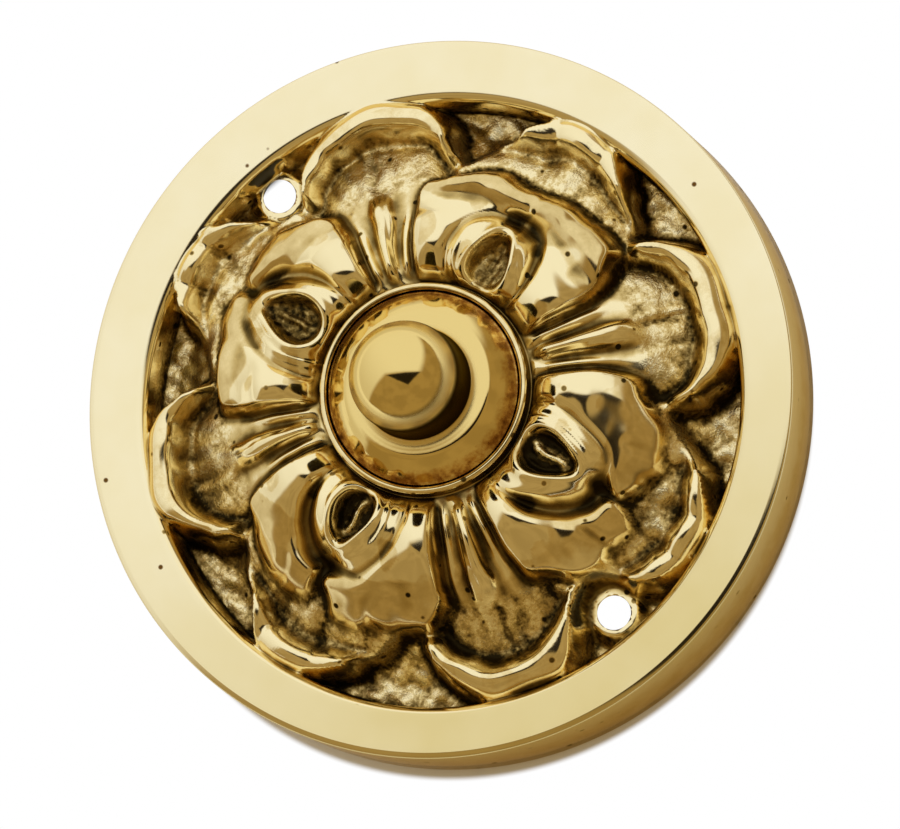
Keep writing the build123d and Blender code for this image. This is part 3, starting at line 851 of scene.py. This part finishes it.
def speck_value(nodes, links, spacing_mm, speck_mm, share):
    """1 in small round specks, of which only a share are kept."""
    place = nodes.new("ShaderNodeTexCoord").outputs["Object"]
    cells = nodes.new("ShaderNodeTexVoronoi")
    cells.inputs["Scale"].default_value = 1 / (spacing_mm * MM)
    links.new(place, cells.inputs["Vector"])
    size = speck_mm / spacing_mm
    dot = soft_edge(nodes, links, cells.outputs["Distance"], size, size * 0.5)
    split = nodes.new("ShaderNodeSeparateColor")
    links.new(cells.outputs["Color"], split.inputs[0])
    kept = math_node(nodes, links, "GREATER_THAN", split.outputs[0], 1 - share)
    return math_node(nodes, links, "MULTIPLY", dot, kept)


def colour_stops(nodes, links, value, stops):
    """Colour ramp from (position, colour) stops."""
    ramp = nodes.new("ShaderNodeValToRGB")
    links.new(value, ramp.inputs["Fac"])
    elements = ramp.color_ramp.elements
    elements[0].position = stops[0][0]
    elements[0].color = (*stops[0][1], 1)
    elements[1].position = stops[-1][0]
    elements[1].color = (*stops[-1][1], 1)
    for position, colour in stops[1:-1]:
        elements.new(position).color = (*colour, 1)
    return ramp.outputs["Color"]


def add_bump(nodes, links, shader, height, distance_mm):
    """Bump from a height socket."""
    bump = nodes.new("ShaderNodeBump")
    bump.inputs["Distance"].default_value = distance_mm * MM
    links.new(height, bump.inputs["Height"])
    links.new(bump.outputs["Normal"], shader.inputs["Normal"])


def cast_brass():
    """Cast brass: clean on the rim, polished on the leaves, brown and sandy where no brush reaches, with
    painted shade on one side of the rim, on the outer ground and on the wall, and painted light on the lit
    side.
    """
    material, nodes, links, shader = node_tree("cast_brass")
    shader.inputs["Metallic"].default_value = 1.0
    shader.inputs["Specular Tint"].default_value = BRASS_TINT
    # The dirt layer holds the patina together with painted shade and painted light
    dirt_and_shade = layer_value(nodes, "dirt_and_shade")
    low = layer_value(nodes, "low")
    rough = layer_value(nodes, "rough")
    rim = layer_value(nodes, "rim")
    blotch = noise_value(nodes, links, 2.6, 5.0, 0.6)
    sand = noise_value(nodes, links, 0.55, 4.0, 0.65)
    spread = math_node(nodes, links, "MULTIPLY_ADD", rough, 0.38, 0.34)
    patina = math_node(nodes, links, "MULTIPLY", dirt_and_shade, 0.62)
    patina = math_node(nodes, links, "MULTIPLY_ADD", low, 0.06, patina)
    patina = math_node(nodes, links, "MULTIPLY_ADD", rough, 0.05, patina)
    patina = math_node(nodes, links, "ADD", math_node(nodes, links, "MULTIPLY", blotch, spread), patina)
    gritty = math_node(nodes, links, "MULTIPLY_ADD", rough, 1.15, 0.12)
    patina = math_node(nodes, links, "ADD", patina, math_node(nodes, links, "MULTIPLY", sand, gritty))
    specks = speck_value(nodes, links, 2.4, 0.4, 0.5)
    patina = math_node(nodes, links, "MULTIPLY_ADD", specks, 0.6, patina)
    leaf_colour = colour_stops(nodes, links, patina, [
        (0.06, (0.91, 0.79, 0.47)), (0.18, (0.77, 0.61, 0.29)), (0.36, (0.55, 0.40, 0.145)),
        (0.60, (0.20, 0.13, 0.035)), (0.85, (0.022, 0.015, 0.005)),
    ])
    cloud = math_node(nodes, links, "ADD", noise_value(nodes, links, 9.0, 3.0), 0.5)
    rim_specks = speck_value(nodes, links, 5.0, 0.34, 1.0)
    rim_colour = colour_stops(nodes, links, cloud, [(0.3, (0.89, 0.785, 0.49)), (0.7, (0.92, 0.83, 0.56))])
    # Painted shade: the rim is made darker and yellower on one side
    patchy = math_node(nodes, links, "ADD", noise_value(nodes, links, 14.0, 3.0), 0.95)
    dull = math_node(nodes, links, "MULTIPLY", layer_value(nodes, "dull"), patchy)
    rim_colour = blend_colours(nodes, links, dull, rim_colour, (0.73, 0.60, 0.28))
    rim_colour = blend_colours(nodes, links, rim_specks, rim_colour, (0.13, 0.06, 0.01))
    colour = blend_colours(nodes, links, rim, leaf_colour, rim_colour)
    links.new(colour, shader.inputs["Base Color"])
    worn = soft_edge(nodes, links, patina, 0.12, 0.7)
    worn = math_node(nodes, links, "MULTIPLY", worn, math_node(nodes, links, "SUBTRACT", 1.0, rim))
    roughness = math_node(nodes, links, "MULTIPLY_ADD", worn, 0.32, 0.12)
    roughness = math_node(nodes, links, "MULTIPLY_ADD", rough, 0.10, roughness)
    links.new(roughness, shader.inputs["Roughness"])
    fine = math_node(nodes, links, "MULTIPLY", noise_value(nodes, links, 0.22, 3.0), 0.5)
    grit = math_node(nodes, links, "MULTIPLY", math_node(nodes, links, "ADD", sand, fine), rough)
    wave = math_node(nodes, links, "MULTIPLY", noise_value(nodes, links, 1.6, 2.0), 0.03)
    add_bump(nodes, links, shader, math_node(nodes, links, "ADD", grit, wave), 0.085)
    return material


def turned_brass():
    """Lathe-turned brass with brown stains where the button meets the collar, and painted shade on the neck
    under the dome.
    """
    material, nodes, links, shader = node_tree("turned_brass")
    shader.inputs["Metallic"].default_value = 1.0
    shader.inputs["Specular Tint"].default_value = BRASS_TINT
    stain = layer_value(nodes, "stain")
    blotch = noise_value(nodes, links, 1.3, 5.0, 0.6)
    fine = noise_value(nodes, links, 0.35, 3.0)
    uneven = math_node(nodes, links, "MULTIPLY_ADD", stain, 1.9, 0.45)
    tarnish = math_node(nodes, links, "MULTIPLY_ADD", blotch, uneven, stain)
    tarnish = math_node(nodes, links, "MULTIPLY_ADD", fine, 0.3, tarnish)
    specks = speck_value(nodes, links, 2.2, 0.17, 0.07)
    tarnish = math_node(nodes, links, "MULTIPLY_ADD", specks, 0.6, tarnish)
    colour = colour_stops(nodes, links, tarnish, [
        (0.16, (0.79, 0.61, 0.235)), (0.38, (0.60, 0.37, 0.10)), (0.58, (0.33, 0.15, 0.032)),
        (0.85, (0.10, 0.035, 0.006)),
    ])
    # Painted shade: the band round the neck is made near black
    neck = layer_value(nodes, "neck")
    colour = blend_colours(nodes, links, neck, colour, (0.018, 0.012, 0.002))
    links.new(colour, shader.inputs["Base Color"])
    dulled = math_node(nodes, links, "MULTIPLY_ADD", soft_edge(nodes, links, tarnish, 0.2, 0.8), 0.3, 0.075)
    dulled = math_node(nodes, links, "MULTIPLY_ADD", layer_value(nodes, "soft"), 0.3, dulled)
    links.new(math_node(nodes, links, "MULTIPLY_ADD", neck, 0.2, dulled), shader.inputs["Roughness"])
    add_bump(nodes, links, shader, noise_value(nodes, links, 1.2, 2.0), 0.0045)
    return material


def moulded_phenolic():
    """Black moulded insulating disc: mottled, slightly glossy, with flow marks."""
    material, nodes, links, shader = node_tree("phenolic")
    mottle = noise_value(nodes, links, 0.8, 6.0, 0.7)
    flow = noise_value(nodes, links, 5.0, 3.0, 0.5)
    tone = math_node(nodes, links, "MULTIPLY_ADD", flow, 0.5, math_node(nodes, links, "ADD", mottle, 0.5))
    colour = colour_stops(nodes, links, tone, [
        (0.25, (0.010, 0.007, 0.005)), (0.55, (0.028, 0.018, 0.012)), (0.8, (0.062, 0.036, 0.020)),
    ])
    links.new(colour, shader.inputs["Base Color"])
    links.new(math_node(nodes, links, "MULTIPLY_ADD", mottle, 0.25, 0.34), shader.inputs["Roughness"])
    add_bump(nodes, links, shader, noise_value(nodes, links, 0.35, 3.0), 0.02)
    return material


def worn_metal(name, clean, dull, roughness, grain_mm, stretch):
    """Rolled or turned small metal part: grain along one way, dull patches and fine scratches."""
    material, nodes, links, shader = node_tree(name)
    shader.inputs["Metallic"].default_value = 1.0
    patch = noise_value(nodes, links, 1.6, 5.0, 0.6)
    grain = noise_value(nodes, links, grain_mm, 3.0, 0.6, stretch)
    tone = math_node(nodes, links, "ADD", math_node(nodes, links, "MULTIPLY_ADD", grain, 0.35, patch), 0.5)
    links.new(colour_stops(nodes, links, tone, [(0.42, clean), (0.72, dull)]), shader.inputs["Base Color"])
    dulled = soft_edge(nodes, links, tone, 0.4, 0.8)
    links.new(math_node(nodes, links, "MULTIPLY_ADD", dulled, 0.28, roughness), shader.inputs["Roughness"])
    add_bump(nodes, links, shader, grain, 0.012)
    return material


def make_floor():
    """Pale floor: plain white to the camera away from the plate, and lit near it, where the shadow lies."""
    mesh = bpy.data.meshes.new("floor")
    low = -0.00003
    near, far = -0.085, 0.6
    corners = [(-far, near, low), (far, near, low), (far, far, low), (-far, far, low)]
    mesh.from_pydata(corners, [], [(0, 1, 2, 3)])
    floor = add_piece("floor", mesh)
    material, nodes, links, shader = node_tree("floor_white")
    shader.inputs["Base Color"].default_value = (0.9, 0.9, 0.9, 1)
    shader.inputs["Roughness"].default_value = 0.9
    glow = nodes.new("ShaderNodeEmission")
    glow.inputs["Color"].default_value = (1, 1, 1, 1)
    glow.inputs["Strength"].default_value = 1.0
    path = nodes.new("ShaderNodeLightPath")
    glossy = path.outputs["Is Glossy Ray"]
    bounced = math_node(nodes, links, "MAXIMUM", glossy, path.outputs["Is Transmission Ray"])
    place = nodes.new("ShaderNodeNewGeometry")
    away = nodes.new("ShaderNodeVectorMath")
    away.operation = "DISTANCE"
    away.inputs[1].default_value = (FLOOR_MIDDLE[0] * MM, FLOOR_MIDDLE[1] * MM, 0)
    links.new(place.outputs["Position"], away.inputs[0])
    close = soft_edge(nodes, links, away.outputs["Value"], (PLATE_R - 0.4) * MM, (PLATE_R + 0.35) * MM)
    under = soft_edge(nodes, links, away.outputs["Value"], (RECESS_R + 3) * MM, (RECESS_R + 2) * MM)
    close = math_node(nodes, links, "MAXIMUM", close, under)
    wide = soft_edge(nodes, links, away.outputs["Value"], PLATE_R * 2.0 * MM, PLATE_R * 4.5 * MM)
    shown = math_node(nodes, links, "MULTIPLY", path.outputs["Is Camera Ray"], close)
    beside = soft_edge(nodes, links, away.outputs["Value"], PLATE_R * MM, PLATE_R * 1.25 * MM)
    wide = math_node(nodes, links, "MAXIMUM", wide, math_node(nodes, links, "MULTIPLY", beside, 0.5))
    mirrored = math_node(nodes, links, "MULTIPLY", bounced, wide)
    factor = math_node(nodes, links, "ADD", shown, mirrored)
    mix = nodes.new("ShaderNodeMixShader")
    links.new(factor, mix.inputs["Fac"])
    links.new(shader.outputs[0], mix.inputs[1])
    links.new(glow.outputs[0], mix.inputs[2])
    links.new(mix.outputs[0], nodes["Material Output"].inputs["Surface"])
    mesh.materials.append(material)


def camera_axes():
    """Right, up and back of the camera in the plate's frame."""
    a = radians(CAMERA_AZIMUTH)
    e = radians(CAMERA_ELEVATION)
    back = Vector((sin(a) * cos(e), -cos(a) * cos(e), sin(e)))
    right = Vector((cos(a), sin(a), 0))
    up = back.cross(right)
    roll = radians(CAMERA_ROLL)
    return cos(roll) * right + sin(roll) * up, -sin(roll) * right + cos(roll) * up, back


def make_camera():
    """The camera of the photograph: its place, roll, focal length and crop."""
    right, up, back = camera_axes()
    data = bpy.data.cameras.new("photo_camera")
    data.sensor_fit = "HORIZONTAL"
    data.sensor_width = SENSOR_MM
    data.lens = CAMERA_FOCAL_PX / PHOTO_WIDTH * SENSOR_MM
    data.clip_start = 0.01
    data.clip_end = 20
    per_px = CAMERA_DISTANCE / CAMERA_FOCAL_PX
    aside = (PHOTO_WIDTH / 2 - ORIGIN_PX[0]) * per_px
    above = (ORIGIN_PX[1] - PHOTO_HEIGHT / 2) * per_px
    place = back * CAMERA_DISTANCE + right * aside + up * above
    camera = bpy.data.objects.new("photo_camera", data)
    camera.matrix_world = Matrix((
        (right.x, up.x, back.x, place.x),
        (right.y, up.y, back.y, place.y),
        (right.z, up.z, back.z, place.z),
        (0, 0, 0, 1),
    ))
    bpy.context.collection.objects.link(camera)
    bpy.context.scene.camera = camera


def make_world():
    """A warm room with one broad pale side, and a small dark place overhead where the photographer stands."""
    world = bpy.data.worlds.new("room")
    bpy.context.scene.world = world
    world.use_nodes = True
    nodes = world.node_tree.nodes
    links = world.node_tree.links
    background = nodes["Background"]
    place = nodes.new("ShaderNodeTexCoord")
    split = nodes.new("ShaderNodeSeparateXYZ")
    links.new(place.outputs["Generated"], split.inputs[0])
    above = math_node(nodes, links, "MAXIMUM", math_node(nodes, links, "ADD", split.outputs["Z"], 1.0), 0.05)
    across = math_node(nodes, links, "DIVIDE", split.outputs["X"], above)
    along = math_node(nodes, links, "DIVIDE", split.outputs["Y"], above)
    right_of = math_node(nodes, links, "MAXIMUM", across, -0.19)
    slope = math_node(nodes, links, "MULTIPLY_ADD", right_of, 0.70, along)
    near_side = soft_edge(nodes, links, slope, -0.045, 0.045)
    aside = math_node(nodes, links, "POWER", math_node(nodes, links, "ADD", across, 0.15), 2.0)
    ahead = math_node(nodes, links, "POWER", math_node(nodes, links, "SUBTRACT", along, 0.65), 2.0)
    ring = math_node(nodes, links, "SQRT", math_node(nodes, links, "ADD", aside, ahead))
    outside = math_node(nodes, links, "MULTIPLY", soft_edge(nodes, links, ring, 0.94, 1.10),
                        soft_edge(nodes, links, across, -0.2, 0.2))
    pale = math_node(nodes, links, "MULTIPLY", near_side, math_node(nodes, links, "SUBTRACT", 1.0, outside))
    lit = soft_edge(nodes, links, across, -0.9, 0.1)
    wall = blend_colours(nodes, links, lit, (0.78, 0.74, 0.66), (1.0, 1.0, 1.0))
    room = blend_colours(nodes, links, soft_edge(nodes, links, split.outputs["Z"], -0.2, 0.03),
                         (0.03, 0.022, 0.010), (0.44, 0.315, 0.135))
    uneven = nodes.new("ShaderNodeTexNoise")
    uneven.inputs["Scale"].default_value = 2.6
    uneven.inputs["Detail"].default_value = 2.0
    links.new(place.outputs["Generated"], uneven.inputs["Vector"])
    shaded = soft_edge(nodes, links, uneven.outputs["Fac"], 0.42, 0.62)
    shaded = math_node(nodes, links, "MULTIPLY", shaded, 0.3)
    room = blend_colours(nodes, links, shaded, room, (0.20, 0.13, 0.04))
    surroundings = blend_colours(nodes, links, pale, room, wall)
    below = math_node(nodes, links, "MULTIPLY_ADD", across, 0.65, along)
    above_foot = math_node(nodes, links, "MULTIPLY_ADD", across, -0.143, along)
    beside = math_node(nodes, links, "MULTIPLY_ADD", across, 2.1, along)
    shade = math_node(nodes, links, "MULTIPLY", soft_edge(nodes, links, below, -0.012, -0.035),
                      soft_edge(nodes, links, above_foot, -0.32, -0.28))
    shade = math_node(nodes, links, "MULTIPLY", shade, soft_edge(nodes, links, beside, -0.33, -0.26))
    dark = blend_colours(nodes, links, shade, surroundings, (0.02, 0.015, 0.01))
    links.new(dark, background.inputs["Color"])
    background.inputs["Strength"].default_value = 1.0
    white = nodes.new("ShaderNodeBackground")
    white.inputs["Color"].default_value = (1, 1, 1, 1)
    path = nodes.new("ShaderNodeLightPath")
    mix = nodes.new("ShaderNodeMixShader")
    links.new(path.outputs["Is Camera Ray"], mix.inputs["Fac"])
    links.new(background.outputs[0], mix.inputs[1])
    links.new(white.outputs[0], mix.inputs[2])
    links.new(mix.outputs[0], nodes["World Output"].inputs["Surface"])


make_camera()
make_world()
make_floor()

plate = make_plate()
cut_holes(plate)
plate.data.materials.append(cast_brass())
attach(plate, "plate")
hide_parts("front_plate")

finishes = {
    "turned_brass": turned_brass(),
    "phenolic": moulded_phenolic(),
}

# Small metal parts: clean colour, dull colour, roughness, size of the grain and how it is stretched
METALS = {
    "spring_bronze": ((0.68, 0.42, 0.24), (0.34, 0.18, 0.09), 0.2, 0.12, (1, 0.06, 1)),
    "strip_brass": ((0.80, 0.60, 0.28), (0.42, 0.28, 0.10), 0.2, 0.12, (1, 0.06, 1)),
    "contact_metal": ((0.86, 0.85, 0.82), (0.50, 0.47, 0.42), 0.16, 0.2, (1, 1, 1)),
    "screw_steel": ((0.58, 0.57, 0.55), (0.24, 0.19, 0.14), 0.24, 0.15, (1, 1, 0.2)),
}
for metal, look in METALS.items():
    finishes[metal] = worn_metal(metal, *look)

button = make_button()
button.data.materials.append(finishes["turned_brass"])
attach(button, "button")
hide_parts("push_button")

leaf = make_spring()
leaf.data.materials.clear()
leaf.data.materials.append(finishes["spring_bronze"])
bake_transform(leaf)
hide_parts("contact_spring")

for part in frame["record"]["subparts"]:
    piece = frame["nodes"].get(part["node"])
    if piece is not None and part["material_slot"] in finishes:
        piece.data.materials.clear()
        piece.data.materials.append(finishes[part["material_slot"]])

scene = bpy.context.scene
scene.view_settings.view_transform = "Standard"
